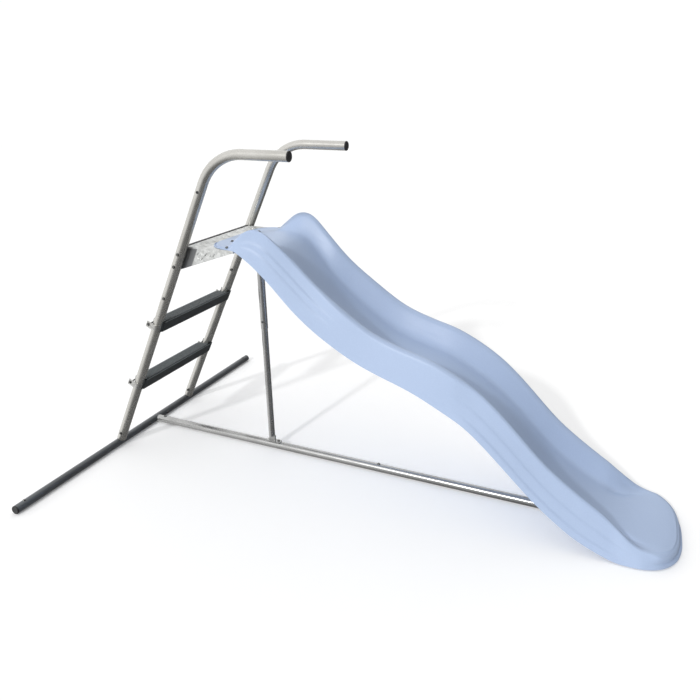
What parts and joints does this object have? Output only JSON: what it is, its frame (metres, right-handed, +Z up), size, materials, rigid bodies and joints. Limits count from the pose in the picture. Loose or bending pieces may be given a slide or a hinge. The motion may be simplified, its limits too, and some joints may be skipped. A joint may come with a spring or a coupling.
{
  "type": "garden slide",
  "caption": "Toddler's garden slide: a leaning steel ladder with two steps, a platform and handrails, on a tee-shaped floor frame, with a wavy moulded chute.",
  "frame": {"origin": "on the floor, in the middle of the slide's length and width", "axes": "+X from the ladder towards the nose of the chute, +Y to the left of a child who climbs the ladder, +Z up"},
  "size_m": [2.11, 1.54, 1.214],
  "materials": {
    "ladder_steel": "satin silver-grey powder coat",
    "floor_steel": "satin slate-grey powder coat",
    "spine_steel": "satin silver powder coat",
    "tread_plate": "galvanised tread plate",
    "zinc_steel": "zinc-plated, dull",
    "black_plastic": "matte black moulded plastic",
    "step_plastic": "charcoal moulded plastic with a ribbed top",
    "chute_plastic": "pale blue moulded plastic, softly glossy"
  },
  "bodies": {
    "root": {"chute": "chute_plastic", "floor_cap_left": "black_plastic", "floor_cap_right": "black_plastic", "floor_end_screws": "zinc_steel", "floor_tee": "floor_steel", "floor_tee_bolts": "zinc_steel", "floor_tube_left": "floor_steel", "floor_tube_right": "floor_steel", "handrail_cap_left": "black_plastic", "handrail_cap_right": "black_plastic", "handrail_left": "ladder_steel", "handrail_right": "ladder_steel", "ladder_foot_bolts": "zinc_steel", "ladder_joint_bolts": "zinc_steel", "ladder_leg_left": "ladder_steel", "ladder_leg_right": "ladder_steel", "nose_bolt": "zinc_steel", "platform": "tread_plate", "platform_bolts": "zinc_steel", "platform_edge_trim": "black_plastic", "prop_bolts": "zinc_steel", "prop_foot_bolt": "zinc_steel", "prop_joint_screw": "zinc_steel", "prop_lower": "spine_steel", "prop_upper": "spine_steel", "rail_plugs": "black_plastic", "spine_bolts": "zinc_steel", "spine_front": "spine_steel", "spine_rear": "spine_steel", "step_bolts_lower": "zinc_steel", "step_bolts_upper": "zinc_steel", "step_lower": "step_plastic", "step_strap_lower_left": "zinc_steel", "step_strap_lower_right": "zinc_steel", "step_strap_upper_left": "zinc_steel", "step_strap_upper_right": "zinc_steel", "step_upper": "step_plastic", "tongue_bolts": "zinc_steel"}
  },
  "joints": []
}
